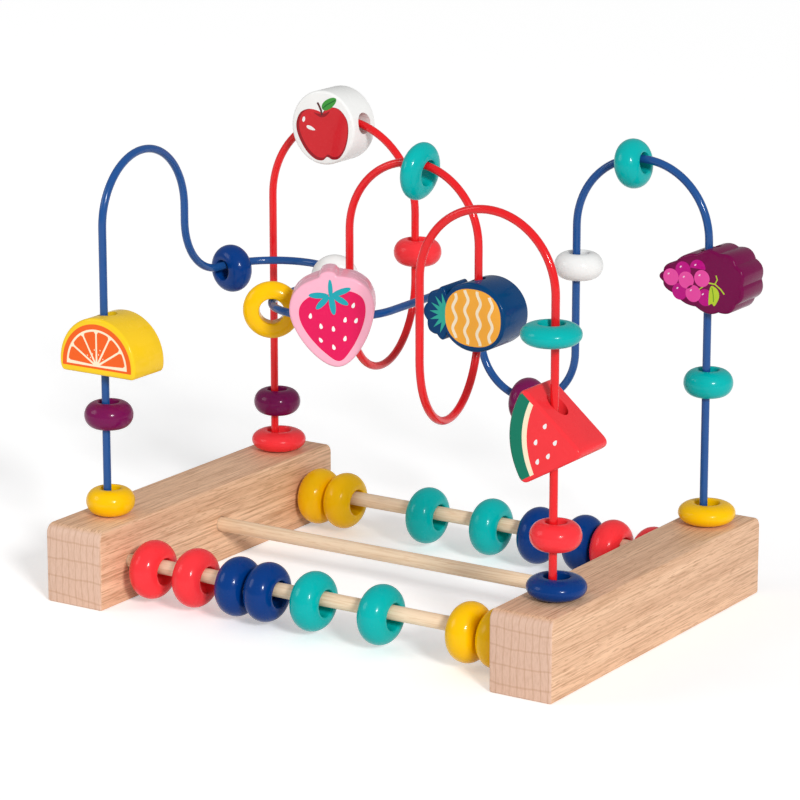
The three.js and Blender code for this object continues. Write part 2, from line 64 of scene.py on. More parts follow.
scene.view_settings.view_transform = "Standard"
sheet_size, sheet_pale, sheet_lift = 14, (0.93, 0.93, 0.93, 1), 0.34
sky_white, sky_level = (1, 1, 1, 1), 0.41
key_level, key_spread = 2.1, math.radians(11)
key_place, key_aim = (1.2, -0.9, 0.65), (-0.74, 0.54, -0.42)
fill_watts, fill_width = 6, 0.9
fill_place, fill_aim = (-1.3, -1.1, 1.0), (1.3, 1.1, -0.9)
camera_place = (0.9540, -1.4802, 0.5564)
camera_tilt, camera_turn = math.radians(75.51), math.radians(32.87)
camera_lens, camera_sensor, camera_far = 166.4, 36, 50


def deselect():
    bpy.ops.object.select_all(action="DESELECT")


deselect()
bpy.ops.mesh.primitive_plane_add(size=sheet_size)
sheet = bpy.context.object
sheet.name = "table_sheet"
sheet_paint = bpy.data.materials.new("table_sheet")
sheet_paint.use_nodes = True
nodes, links = sheet_paint.node_tree.nodes, sheet_paint.node_tree.links
matt = nodes["Principled BSDF"]
matt.inputs["Base Color"].default_value = sheet_pale
matt.inputs["Roughness"].default_value = 0.9
matt.inputs["Specular IOR Level"].default_value = 0.0
rays = nodes.new("ShaderNodeLightPath")
seen = rays.outputs["Is Camera Ray"]
for kind in ("Is Glossy Ray", "Is Transmission Ray"):
    either = nodes.new("ShaderNodeMath")
    either.operation = "MAXIMUM"
    links.new(seen, either.inputs[0])
    links.new(rays.outputs[kind], either.inputs[1])
    seen = either.outputs[0]
lift = nodes.new("ShaderNodeMath")
lift.operation = "MULTIPLY"
lift.inputs[1].default_value = sheet_lift
links.new(seen, lift.inputs[0])
glow = nodes.new("ShaderNodeEmission")
links.new(lift.outputs[0], glow.inputs["Strength"])
blend = nodes.new("ShaderNodeAddShader")
links.new(matt.outputs[0], blend.inputs[0])
links.new(glow.outputs[0], blend.inputs[1])
links.new(blend.outputs[0], nodes["Material Output"].inputs["Surface"])
sheet.data.materials.append(sheet_paint)
sheet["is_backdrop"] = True

sky = bpy.data.worlds.new("studio_sky")
sky.use_nodes = True
sky.node_tree.nodes["Background"].inputs["Color"].default_value = sky_white
sky.node_tree.nodes["Background"].inputs["Strength"].default_value = sky_level
scene.world = sky


def lamp(name, kind, level, place, aim):
    bpy.ops.object.light_add(type=kind, location=place)
    made = bpy.context.object
    made.name = name
    made.data.energy = level
    made.rotation_euler = Vector(aim).to_track_quat("-Z", "Y").to_euler()
    return made.data


key_light = lamp("key_lamp", "SUN", key_level, key_place, key_aim)
key_light.angle = key_spread
fill_light = lamp("fill_lamp", "AREA", fill_watts, fill_place, fill_aim)
fill_light.shape = "DISK"
fill_light.size = fill_width

bpy.ops.object.camera_add(location=camera_place)
camera = bpy.context.object
camera.rotation_euler = (camera_tilt, 0, camera_turn)
camera.data.sensor_width = camera_sensor
camera.data.lens = camera_lens
camera.data.clip_end = camera_far
scene.camera = camera


# Beech blocks: two sawn and sanded lengths of solid beech that carry everything. The top edges
# at both ends are well rounded, the rest eased, and the sockets for dowels and wires are drilled.
mm = 0.001
beech_light = (0.92, 0.60, 0.385, 1)
beech_warm = (0.76, 0.46, 0.28, 1)
beech_fleck = (0.47, 0.24, 0.12, 1)
beech_end = (0.76, 0.51, 0.385, 1)
grain_relief, grain_depth = 0.25, 0.0002
top_round, edge_ease, sharp_edge = 5, 1.2, math.radians(50)
dowel_rows, dowel_height, dowel_socket = (-77, 0, 77), 20, 3.95
inner_face, socket_floor, drill_lead = 111.75, 123.75, 2
post_x, post_y, post_socket = 128.5, 73, 2.3
post_floor, above_block = 27, 42


def noise(tree, vector, scale, detail, rough=0.5):
    node = tree.nodes.new("ShaderNodeTexNoise")
    node.inputs["Scale"].default_value = scale
    node.inputs["Detail"].default_value = detail
    node.inputs["Roughness"].default_value = rough
    tree.links.new(vector, node.inputs["Vector"])
    return node.outputs["Fac"]


def spread(tree, value, low, high, out_low=0.0, out_high=1.0):
    node = tree.nodes.new("ShaderNodeMapRange")
    limits = {"From Min": low, "From Max": high, "To Min": out_low, "To Max": out_high}
    for label, number in limits.items():
        node.inputs[label].default_value = number
    tree.links.new(value, node.inputs["Value"])
    return node.outputs["Result"]


def tint(tree, factor, first, second):
    node = tree.nodes.new("ShaderNodeMix")
    node.data_type = "RGBA"
    tree.links.new(factor, node.inputs["Factor"])
    for label, value in (("A", first), ("B", second)):
        tree.links.new(value, next(s for s in node.inputs if s.name == label and s.type == "RGBA"))
    return next(s for s in node.outputs if s.type == "RGBA")


def surface_group(name, vectors, colours):
    group = bpy.data.node_groups.new(name, "ShaderNodeTree")
    for label in vectors:
        group.interface.new_socket(label, in_out="INPUT", socket_type="NodeSocketVector")
    for label in colours:
        group.interface.new_socket(label, in_out="INPUT", socket_type="NodeSocketColor")
    group.interface.new_socket("Color", in_out="OUTPUT", socket_type="NodeSocketColor")
    for label in ("Roughness", "Height"):
        group.interface.new_socket(label, in_out="OUTPUT", socket_type="NodeSocketFloat")
    return group, group.nodes.new("NodeGroupInput").outputs, group.nodes.new("NodeGroupOutput").inputs


# Grain runs along the group's own X. Long soft bands, thin streaks, short dark rays and fine pores
# make the colour, and end grain has rings crossed by fine lines. Rays sink and pores roughen.
grain, given, result = surface_group("beech_grain", ("Vector", "Facing"), ("Light", "Warm", "Fleck", "End"))


def streaky(scale, detail, rough=0.5):
    node = grain.nodes.new("ShaderNodeMapping")
    node.inputs["Scale"].default_value = scale
    grain.links.new(given["Vector"], node.inputs["Vector"])
    return noise(grain, node.outputs["Vector"], 1.0, detail, rough)


def lines(direction, scale, wander):
    node = grain.nodes.new("ShaderNodeTexWave")
    node.bands_direction = direction
    node.inputs["Scale"].default_value = scale
    node.inputs["Distortion"].default_value = wander
    node.inputs["Detail"].default_value = 3
    node.inputs["Detail Scale"].default_value = 0.7
    grain.links.new(given["Vector"], node.inputs["Vector"])
    return node.outputs["Fac"]


def darken(under, mask, low, high, share):
    return tint(grain, spread(grain, mask, low, high, 0, share), under, given["Fleck"])


bands = streaky((5, 190, 190), 3)
streaks = streaky((28, 1150, 1150), 3, 0.6)
short_rays = streaky((130, 1300, 1300), 1)
pores = streaky((700, 2600, 2600), 2)
fibres = streaky((90, 1500, 260), 3, 0.6)
long_grain = tint(grain, spread(grain, bands, 0.35, 0.68), given["Light"], given["Warm"])
long_grain = darken(long_grain, streaks, 0.46, 0.68, 0.8)
long_grain = darken(long_grain, short_rays, 0.58, 0.72, 0.6)
end_grain = darken(given["End"], fibres, 0.45, 0.7, 0.3)
end_grain = darken(end_grain, lines("Y", 80, 3.4), 0.86, 1, 0.34)
end_grain = darken(end_grain, lines("Z", 33, 3.2), 0.95, 1, 0.34)
facing = grain.nodes.new("ShaderNodeSeparateXYZ")
grain.links.new(given["Facing"], facing.inputs[0])
square_on = grain.nodes.new("ShaderNodeMath")
square_on.operation = "ABSOLUTE"
grain.links.new(facing.outputs[0], square_on.inputs[0])
whole = tint(grain, spread(grain, square_on.outputs[0], 0.35, 0.75), long_grain, end_grain)
grain.links.new(darken(whole, pores, 0.6, 0.75, 0.2), result["Color"])
grain.links.new(spread(grain, pores, 0.3, 0.8, 0.46, 0.62), result["Roughness"])
grain.links.new(spread(grain, short_rays, 0.5, 0.8, 1, 0), result["Height"])


def surface_material(name, group, colours, relief, depth):
    material = bpy.data.materials.new(name)
    material.use_nodes = True
    tree = material.node_tree
    skin = tree.nodes.new("ShaderNodeGroup")
    skin.node_tree = group
    for label, value in colours.items():
        skin.inputs[label].default_value = value
    bump = tree.nodes.new("ShaderNodeBump")
    bump.inputs["Strength"].default_value = relief
    bump.inputs["Distance"].default_value = depth
    shader = tree.nodes["Principled BSDF"]
    tree.links.new(skin.outputs["Color"], shader.inputs["Base Color"])
    tree.links.new(skin.outputs["Roughness"], shader.inputs["Roughness"])
    tree.links.new(skin.outputs["Height"], bump.inputs["Height"])
    tree.links.new(bump.outputs["Normal"], shader.inputs["Normal"])
    return material, skin, shader


def wood(name, light, warm, fleck, end, turn):
    colours = {"Light": light, "Warm": warm, "Fleck": fleck, "End": end}
    material, skin, _ = surface_material(name, grain, colours, grain_relief, grain_depth)
    tree = material.node_tree
    place = tree.nodes.new("ShaderNodeTexCoord")
    for source, kind, target in (("Object", "POINT", "Vector"), ("Normal", "NORMAL", "Facing")):
        turned = tree.nodes.new("ShaderNodeMapping")
        turned.vector_type = kind
        turned.inputs["Rotation"].default_value = turn
        tree.links.new(place.outputs[source], turned.inputs["Vector"])
        tree.links.new(turned.outputs["Vector"], skin.inputs[target])
    return material


beech = wood("sanded_beech", beech_light, beech_warm, beech_fleck, beech_end, (0, 0, math.radians(90)))


def pick_edges(obj, test):
    bpy.context.view_layer.objects.active = obj
    bpy.ops.object.mode_set(mode="EDIT")
    bpy.ops.mesh.select_mode(type="EDGE")
    bpy.ops.mesh.select_all(action="DESELECT")
    work = bmesh.from_edit_mesh(obj.data)
    for edge in work.edges:
        edge.select_set(test(*(corner.co for corner in edge.verts)))
    bmesh.update_edit_mesh(obj.data)


def finish_modifier(obj, kind, **settings):
    bpy.context.view_layer.objects.active = obj
    modifier = obj.modifiers.new(kind.lower(), kind)
    for key, value in settings.items():
        setattr(modifier, key, value)
    bpy.ops.object.modifier_apply(modifier=modifier.name)


def ease_edges(obj, width, segments):
    finish_modifier(obj, "BEVEL", width=width * mm, segments=segments,
                    limit_method="ANGLE", angle_limit=sharp_edge)


def aimed(place, axis):
    return Matrix.Translation(place) @ Vector(axis).to_track_quat("Z", "Y").to_matrix().to_4x4()


def bore(obj, radius, start, end):
    start, end = Vector(start), Vector(end)
    deselect()
    bpy.ops.mesh.primitive_cylinder_add(vertices=48, radius=radius, depth=(end - start).length)
    drill = bpy.context.object
    drill.data.transform(aimed((start + end) / 2, end - start))
    finish_modifier(obj, "BOOLEAN", operation="DIFFERENCE", solver="EXACT", object=drill)
    bpy.data.objects.remove(drill)


def smooth(obj, degrees=35):
    deselect()
    obj.select_set(True)
    bpy.context.view_layer.objects.active = obj
    bpy.ops.object.shade_smooth_by_angle(angle=math.radians(degrees))


def beech_block(node, side):
    low, high = (Vector(corner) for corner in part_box(node))
    deselect()
    bpy.ops.mesh.primitive_cube_add(size=1, location=(low + high) / 2, scale=high - low)
    block = bpy.context.object
    block.name = node + "_beech"
    bpy.ops.object.transform_apply(location=True, rotation=True, scale=True)
    close = 0.1 * mm
    pick_edges(block, lambda a, b: min(a.z, b.z) > high.z - close and abs(a.y - b.y) < close)
    bpy.ops.mesh.bevel(offset=top_round * mm, segments=10, profile=0.5)
    bpy.ops.object.mode_set(mode="OBJECT")
    ease_edges(block, edge_ease, 4)
    mouth, floor = side * inner_face * mm - side * drill_lead * mm, side * socket_floor * mm
    for row in dowel_rows:
        start, end = ((x, row * mm, dowel_height * mm) for x in (mouth, floor))
        bore(block, dowel_socket * mm, start, end)
    for row in (-post_y, post_y):
        start, end = ((side * post_x * mm, row * mm, z * mm) for z in (post_floor, above_block))
        bore(block, post_socket * mm, start, end)
    smooth(block)
    block.data.materials.clear()
    block.data.materials.append(beech)
    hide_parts(node)
    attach(block, "frame")


beech_block("left_block", -1)
beech_block("right_block", 1)


# Dowels: three straight birch rods, glued into the blocks. The outer two carry the counting
# beads and the middle one stiffens the frame. The rods are paler and finer than the beech.
dowel_light, dowel_warm, dowel_fleck = (0.97, 0.78, 0.56, 1), (0.93, 0.71, 0.49, 1), (0.78, 0.54, 0.33, 1)
dowel_radius, dowel_ease = 3.65, 0.6
dowel_wood = wood("pale_dowel", dowel_light, dowel_warm, dowel_fleck, dowel_warm, (0, 0, 0))
for node in ("front_dowel", "centre_dowel", "back_dowel"):
    low, high = (Vector(corner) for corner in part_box(node))
    deselect()
    bpy.ops.mesh.primitive_cylinder_add(vertices=48, radius=dowel_radius * mm, depth=high.x - low.x,
                                        location=(low + high) / 2, rotation=(0, math.radians(90), 0))
    rod = bpy.context.object
    rod.name = node + "_rod"
    bpy.ops.object.transform_apply(location=True, rotation=True, scale=True)
    ease_edges(rod, dowel_ease, 3)
    smooth(rod)
    rod.data.materials.append(dowel_wood)
    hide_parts(node)
    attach(rod, "frame")


# Wires: two lengths of 4 mm steel rod in a smooth coloured coat, bent round formers and glued
# into the blocks. Each is a round section pushed along straight runs and spun round each bend.
wire_radius, wire_sides = 2, 20
wire_gloss, wire_peel = 0.5, 0.03
shortest_run, bend_step = 0.3, 4
wire_foot, blue_top, weave_height, dip_height = 27.3, 219.5, 148.5, 90
red_top, middle_top, front_top = 222, 220.5, 219.5
back_loop, back_loop_height = math.hypot(73, 8.5) / 2, 143.7
front_loop, front_loop_height = math.hypot(73, 13) / 2, 144
peel_distance, deep_share = 0.0003, 0.82

lacquer, given, result = surface_group("lacquer_skin", (), ("Paint", "Deep"))
place = lacquer.nodes.new("ShaderNodeTexCoord").outputs["Object"]
cloud = spread(lacquer, noise(lacquer, place, 70, 3), 0.35, 0.75, 0, 0.3)
peel = noise(lacquer, place, 650, 2)
handling = noise(lacquer, place, 220, 4, 0.6)
lacquer.links.new(tint(lacquer, cloud, given["Paint"], given["Deep"]), result["Color"])
lacquer.links.new(spread(lacquer, handling, 0.3, 0.75, 0.2, 0.32), result["Roughness"])
lacquer.links.new(peel, result["Height"])


def colour(hex_code):
    parts = [int(hex_code[i:i + 2], 16) / 255 for i in (1, 3, 5)]
    return tuple(c / 12.92 if c < 0.04045 else ((c + 0.055) / 1.055) ** 2.4 for c in parts) + (1,)


def painted(name, hex_code, gloss=0.22, peel_relief=0.04):
    paint = colour(hex_code)
    colours = {"Paint": paint, "Deep": tuple(deep_share * c for c in paint[:3]) + (1,)}
    material, _, shader = surface_material(name, lacquer, colours, peel_relief, peel_distance)
    shader.inputs["Coat Weight"].default_value = gloss
    shader.inputs["Coat Roughness"].default_value = 0.07
    shader.inputs["Specular IOR Level"].default_value = 0.08
    return material


def close_up(threshold):
    bpy.ops.mesh.select_all(action="SELECT")
    bpy.ops.mesh.remove_doubles(threshold=threshold * mm)


def face_outwards():
    bpy.ops.mesh.select_all(action="SELECT")
    bpy.ops.mesh.normals_make_consistent(inside=False)
    bpy.ops.object.mode_set(mode="OBJECT")


def push(move):
    bpy.ops.mesh.extrude_region_move(TRANSFORM_OT_translate={"value": move})


def bent_wire(node, coat, corners):
    points = [Vector(corner[:3]) * mm for corner in corners]
    headings = [(b - a).normalized() for a, b in zip(points, points[1:])]
    deselect()
    bpy.ops.mesh.primitive_circle_add(vertices=wire_sides, radius=wire_radius * mm,
                                      fill_type="NOTHING", location=points[0])
    wire = bpy.context.object
    wire.name = node + "_coated"
    bpy.ops.object.transform_apply(location=True, rotation=True, scale=True)
    bpy.ops.object.mode_set(mode="EDIT")
    bpy.ops.mesh.select_all(action="SELECT")
    at = points[0]
    for i in range(1, len(points) - 1):
        arriving, leaving = headings[i - 1], headings[i]
        turn = arriving.angle(leaving)
        radius = corners[i][3] * mm
        axis = arriving.cross(leaving).normalized()
        start = points[i] - arriving * radius * math.tan(turn / 2)
        if (start - at).length > shortest_run * mm:
            push(start - at)
        centre = start + axis.cross(arriving) * radius
        steps = max(8, round(math.degrees(turn) / bend_step))
        bpy.ops.mesh.spin(steps=steps, angle=-turn, center=centre, axis=axis)
        at = points[i] + leaving * radius * math.tan(turn / 2)
    push(points[-1] - at)
    close_up(0.02)
    bpy.ops.mesh.fill_holes(sides=0)
    face_outwards()
    smooth(wire)
    wire.data.materials.append(coat)
    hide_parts(node)
    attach(wire, "frame")


bent_wire("blue_wire", painted("blue_coat", "#1c5092", wire_gloss, wire_peel), [
    (-post_x, -post_y, wire_foot),
    (-post_x, -post_y, blue_top, 34),
    (-post_x, -5, blue_top, 34),
    (-post_x, -5, weave_height, 29),
    (-post_x, 57.5, weave_height, 32),
    (-64.5, 57.5, weave_height, 32),
    (-64.5, -42.5, weave_height, 32),
    (-0.5, -42.5, weave_height, 32),
    (-0.5, post_y, weave_height, 22),
    (-0.5, post_y, dip_height, 27.5),
    (54.5, post_y, dip_height, 27.5),
    (54.5, post_y, blue_top, 37),
    (post_x, post_y, blue_top, 37),
    (post_x, post_y, wire_foot),
])
bent_wire("red_wire", painted("red_coat", "#ea1c22", wire_gloss, wire_peel), [
    (-post_x, post_y, wire_foot),
    (-post_x, post_y, red_top, 44),
    (-40.5, post_y, red_top, 44),
    (-40.5, post_y, back_loop_height - back_loop, back_loop),
    (-32, 0, back_loop_height - back_loop, back_loop),
    (-32, 0, middle_top, 37.25),
    (42.5, 0, middle_top, 37.25),
    (42.5, 0, front_loop_height - front_loop, front_loop),
    (55.5, -post_y, front_loop_height - front_loop, front_loop),
    (55.5, -post_y, front_top, 36.5),
    (post_x, -post_y, front_top, 36.5),
    (post_x, -post_y, wire_foot),
])


# Beads: turned from hardwood, drilled, and dipped in gloss paint. Stout ones ride the dowels,
# small barrels and flatter rings ride the wires. Each copy takes its place from its own node.
bead_paint = {
    "coral": painted("coral_gloss", "#fb383f"),
    "blue": painted("navy_gloss", "#003880"),
    "teal": painted("teal_gloss", "#00b4b1"),
    "yellow": painted("yellow_gloss", "#ffc600"),
    "purple": painted("purple_gloss", "#761050"),
    "white": painted("white_gloss", "#f6f6f4"),
}
upright, lengthwise = (0, 0, 1), (1, 0, 0)
bead_lip, bore_flatness = 1.4, 0.35


def turned_bead(outer, thick, hole):
    rim, half = (hole / 2 + bead_lip) * mm, thick / 2 * mm
    crown = (outer / 2 - hole / 2 - bead_lip) * mm
    deselect()
    bpy.ops.mesh.primitive_circle_add(vertices=48, radius=1, rotation=(math.radians(90), 0, 0))
    bead = bpy.context.object
    bpy.ops.object.transform_apply(location=True, rotation=True, scale=True)
    for point in bead.data.vertices:
        outwards = point.co.x
        reach = crown * outwards if outwards > 0 else -bead_lip * mm * abs(outwards) ** bore_flatness
        point.co = (rim + reach, 0, half * point.co.z)
    bpy.ops.object.mode_set(mode="EDIT")
    bpy.ops.mesh.select_all(action="SELECT")
    bpy.ops.mesh.spin(steps=72, angle=math.radians(360), center=(0, 0, 0), axis=upright)
    close_up(0.005)
    face_outwards()
    smooth(bead, 60)
    return bead


def thread(pattern, node, axis):
    low, high = (Vector(corner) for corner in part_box(node))
    bead = pattern.copy()
    bead.data = pattern.data.copy()
    bead.name = node + "_turned"
    scene.collection.objects.link(bead)
    bead.data.transform(aimed((low + high) / 2, axis))
    body = node.replace("_bead", "").replace("_ring", "")
    paint = next(word for word in reversed(body.split("_")) if word in bead_paint)
    bead.data.materials.append(bead_paint[paint])
    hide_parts(node)
    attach(bead, body)


counting_bead = turned_bead(outer=29.5, thick=15.3, hole=12.6)
for row in ("front", "back"):
    for word in ("coral", "blue", "teal", "yellow"):
        for number in (1, 2):
            thread(counting_bead, f"{row}_{word}_bead_{number}", lengthwise)

barrel = turned_bead(outer=24.5, thick=13.3, hole=9.5)
ring = turned_bead(outer=28.6, thick=10.3, hole=12)
for node in ("left_front_yellow_bead", "left_front_purple_bead", "left_back_purple_bead",
             "red_arch_coral_bead", "right_front_coral_bead", "right_back_teal_bead", "blue_leg_white_bead"):
    thread(barrel, node, upright)
for node in ("left_back_coral_ring", "right_front_blue_ring", "right_front_teal_ring",
             "right_back_yellow_ring"):
    thread(ring, node, upright)


def round_flat_bend(degrees):
    return (-math.sin(math.radians(degrees)), math.cos(math.radians(degrees)), 0)


def over_arch(degrees):
    return (math.cos(math.radians(degrees)), 0, -math.sin(math.radians(degrees)))


thread(barrel, "weave_blue_bead", round_flat_bend(165))
thread(barrel, "weave_white_bead", round_flat_bend(33))
thread(ring, "weave_yellow_ring", round_flat_bend(213))
thread(barrel, "dip_purple_bead", lengthwise)
thread(barrel, "blue_arch_teal_bead", over_arch(-9))
thread(ring, "red_arch_teal_ring", over_arch(6.5))
for pattern in (counting_bead, barrel, ring):
    bpy.data.objects.remove(pattern)


# Fruit blocks: thick shapes sawn from hardwood with softened edges, drilled for the wire, dipped in
# one gloss colour and pad-printed on the front. An outline is drawn flat, X wide and Y up.
sawn_edge, drill_reach = 1.4, 60
ink_film, ink_step = 0.03, 0.02


def arc(x, y, radius, start, end, steps, tall=None):
    turn = [math.radians(start + (end - start) * i / steps) for i in range(steps + 1)]
    return [(x + radius * math.cos(a), y + (tall or radius) * math.sin(a)) for a in turn]


def bow(a, control, b, steps=8):
    shares = [i / steps for i in range(1, steps + 1)]
    return [tuple((1 - t) ** 2 * p + 2 * t * (1 - t) * q + t * t * r for p, q, r in zip(a, control, b))
            for t in shares]


def loop(points, steps=8):
    path = []
    for i in range(len(points)):
        p, q, r, s = (points[(i + k) % len(points)] for k in (-1, 0, 1, 2))
        for t in (j / steps for j in range(steps)):
            path.append(tuple(0.5 * (2 * b + (c - a) * t + (2 * a - 5 * b + 4 * c - d) * t * t
                                     + (3 * b - a - 3 * c + d) * t ** 3) for a, b, c, d in zip(p, q, r, s)))
    return path


def blob(x, y, long, wide, degrees, taper=0.0):
    cosine, sine = math.cos(math.radians(degrees)), math.sin(math.radians(degrees))
    path = []
    for forward, sideways in arc(0, 0, 1, 0, 348, 29):
        u, v = long / 2 * forward, wide / 2 * sideways * (1 - taper * forward)
        path.append((x + u * cosine - v * sine, y + u * sine + v * cosine))
    return path


def stroke(points, width):
    left, right = [], []
    for i, (x, y) in enumerate(points):
        (x0, y0), (x1, y1) = points[max(i - 1, 0)], points[min(i + 1, len(points) - 1)]
        run = math.hypot(x1 - x0, y1 - y0)
        dx, dy = -(y1 - y0) / run * width / 2, (x1 - x0) / run * width / 2
        left.append((x + dx, y + dy))
        right.append((x - dx, y - dy))
    return left + right[::-1]


def sawn_block(node, outline, thick, hole=5.0, across=False):
    deselect()
    bpy.ops.mesh.primitive_circle_add(vertices=len(outline), radius=1, fill_type="NGON")
    block = bpy.context.object
    block.name = node + "_sawn"
    for point, (x, y) in zip(block.data.vertices, outline):
        point.co = (x * mm, y * mm, -thick / 2 * mm)
    bpy.ops.object.mode_set(mode="EDIT")
    bpy.ops.mesh.select_all(action="SELECT")
    push((0, 0, thick * mm))
    face_outwards()
    pick_edges(block, lambda a, b: abs(a.z - b.z) < 1e-6)
    bpy.ops.mesh.bevel(offset=sawn_edge * mm, segments=5, profile=0.5, clamp_overlap=False)
    bpy.ops.object.mode_set(mode="OBJECT")
    way = (drill_reach * mm, 0, 0) if across else (0, drill_reach * mm, 0)
    bore(block, hole * mm, -Vector(way), way)
    smooth(block)
    return block


def ink(material, layer, *shapes):
    drawing = bpy.data.curves.new("ink", "CURVE")
    drawing.dimensions = "2D"
    drawing.fill_mode = "BOTH"
    drawing.extrude = (ink_film + ink_step * layer) * mm
    for shape in shapes:
        spline = drawing.splines.new("POLY")
        spline.points.add(len(shape) - 1)
        for point, (x, y) in zip(spline.points, shape):
            point.co = (x * mm, y * mm, 0, 1)
        spline.use_cyclic_u = True
    printed = bpy.data.objects.new("ink", drawing)
    scene.collection.objects.link(printed)
    deselect()
    printed.select_set(True)
    bpy.context.view_layer.objects.active = printed
    bpy.ops.object.convert(target="MESH")
    bpy.ops.object.mode_set(mode="EDIT")
    close_up(0.001)
    face_outwards()
    printed.data.materials.clear()
    printed.data.materials.append(material)
    return printed


def hang_fruit(block, paint, prints, thick, node, body, place, turn=0.0, tilt=0.0):
    block.data.materials.clear()
    block.data.materials.append(paint)
    for printed in prints:
        printed.data.transform(Matrix.Translation((0, 0, thick / 2 * mm)))
    deselect()
    for piece in (*prints, block):
        piece.select_set(True)
    bpy.context.view_layer.objects.active = block
    bpy.ops.object.join()
    stand = Matrix.Rotation(math.radians(90), 4, "X")
    swing = Matrix.Rotation(math.radians(turn), 4, "Z") @ Matrix.Rotation(math.radians(tilt), 4, "Y")
    block.data.transform(Matrix.Translation(Vector(place) * mm) @ swing @ stand)
    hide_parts(node)
    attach(block, body)


# Orange: half a slice standing on its cut, sunny yellow all over. The print is an orange peel ring,
# a cream pith and six segments that meet low in the middle.
orange_thick = 25
core_x, core_y = 2.5, 4.6
peel_radius, pith_radius, flesh_radius = 21.0, 18.4, 17.3
half_gap, corner_turn = 0.5, 0.075
orange_ink = painted("orange_ink", "#f8631a")
cream_ink = painted("cream_ink", "#fff0cf")
outline = arc(core_x, 5.5, 23, 0, 180, 56)
outline += bow((-20.5, 5.5), (-20.5, 0), (-17.7, 0)) + [(22.7, 0)]
outline += bow((22.7, 0), (25.5, 0), (25.5, 5.5))[:-1]
block = sawn_block("orange_block", outline, orange_thick)


def spoke(radius, angle):
    return (core_x + radius * math.cos(angle), core_y + radius * math.sin(angle))


def segment(start, end):
    low, high = math.radians(start), math.radians(end)
    side = (5, 11, 16.2)
    way = [(2.2, (low + high) / 2)] + [(r, low + half_gap / r) for r in side]
    way += [(flesh_radius, low + corner_turn + (high - low - 2 * corner_turn) * i / 6) for i in range(7)]
    way += [(r, high - half_gap / r) for r in side[::-1]]
    return [spoke(r, a) for r, a in way]


flesh = [segment(3 + 29 * i, 32 + 29 * i) for i in range(6)]
pip_spots = [(5.6, 0.8), (7.2, 1.05), (6.1, 1.35), (8.2, 1.72), (6.4, 1.95), (5.4, 2.3), (7.4, 2.42), (8.6, 1.3)]
pips = [blob(*spoke(r, a), 0.75, 0.5, math.degrees(a)) for r, a in pip_spots]
prints = [ink(orange_ink, 0, arc(core_x, core_y, peel_radius, -4, 184, 48)),
          ink(cream_ink, 1, arc(core_x, core_y, pith_radius, -1, 181, 48)),
          ink(orange_ink, 2, *flesh),
          ink(cream_ink, 3, *pips)]
hang_fruit(block, painted("orange_gloss", "#fdd122"), prints, orange_thick, "orange_block",
           "orange", (-128.5, -70.4, 114.08))


# Strawberry: a plump heart with a stalk knob, pale pink, drilled across and riding the blue weave.
# The print is a deep pink berry with white seeds under a green-blue cap of leaves.
strawberry_thick, strawberry_hole = 20, 6.6
lean_angle = math.radians(7)


def lean(points):
    cosine, sine = math.cos(lean_angle), math.sin(lean_angle)
    return [(x * cosine - y * sine, x * sine + y * cosine) for x, y in points]


half = [(0, -23.5), (5.5, -21.6), (11.4, -16), (16.4, -8.4), (19.8, 0.2), (20.5, 7.2), (18.2, 14),
        (13.2, 18.6), (7.6, 20.6), (4.6, 21.4), (3.1, 23.2)]
heart = half + [(0, 24)] + [(-x, y) for x, y in half[:0:-1]]
block = sawn_block("strawberry_block", lean(loop(heart, 6)), strawberry_thick, strawberry_hole, across=True)
berry = [(0.6, -19.4), (6.8, -14), (12.4, -5), (15, 3.2), (14, 9.2), (9, 12.6), (3, 12.2), (-3, 12.4),
         (-9.4, 12), (-14, 8), (-14.6, 1.6), (-11.4, -6.4), (-5.6, -14.6)]
leaves = [blob(-5.4, 12.9, 9.6, 3, 172), blob(-4, 9.2, 8.8, 3, 219), blob(0.6, 7.6, 10, 3.1, 272),
          blob(4.8, 9.4, 8.6, 3, 322), blob(5.6, 13.4, 9.8, 3, 14), blob(0.6, 15.4, 9.4, 2.2, 86)]
seeds = [(-10.6, 3.4, 78), (-6.2, -2.2, 96), (-7.2, -9, 116), (-0.4, -4.2, 90), (-1.4, -13.2, 100),
         (4.6, -9.6, 70), (5.8, -0.4, 72), (11, -1.4, 60), (10.6, 6.2, 64)]
prints = [ink(painted("berry_ink", "#e6145a"), 0, lean((1.08 * x, 1.05 * y) for x, y in loop(berry)))]
cap_ink = painted("cap_ink", "#1ea6b2")
prints += [ink(cap_ink, 1 + 0.1 * i, lean(leaf)) for i, leaf in enumerate(leaves)]
prints += [ink(bead_paint["white"], 1, *(lean(blob(x, y, 2.7, 1.5, a, 0.35)) for x, y, a in seeds))]
hang_fruit(block, painted("strawberry_gloss", "#fdb5ca"), prints, strawberry_thick, "strawberry_block",
           "strawberry", (-17.93, -34.75, 148.5), turn=31)


# Pineapple: an oval lying on its side with a scalloped crown at the left, deep blue.
# The print is a golden oval with four wavy cream lines and a tuft of narrow leaves.
pineapple_thick, dark_gloss = 22.4, 0.1
oval_x, oval_y, oval_wide, oval_tall = 5, 17, 18.25, 17
neck_angle, crown_bumps, bump_reach = 145, 4, 1.32
print_x, print_wide, print_tall, squareness = 5.4, 15.6, 14.1, 0.85
wave_reach, wave_power, wave_swing, wave_rate, wave_width = 13.4, 2.35, 0.95, 0.62, 1.6
neck = oval_x + oval_wide * math.cos(math.radians(neck_angle))
outline = arc(oval_x, oval_y, oval_wide, -neck_angle, neck_angle, 72, oval_tall)


def scallop(i):
    angle = math.radians(96 + 168 * i / crown_bumps)
    return neck + 11.7 * math.cos(angle), oval_y + 12.24 * math.sin(angle)


def squared(share):
    return abs(share) ** squareness * math.copysign(1, share)


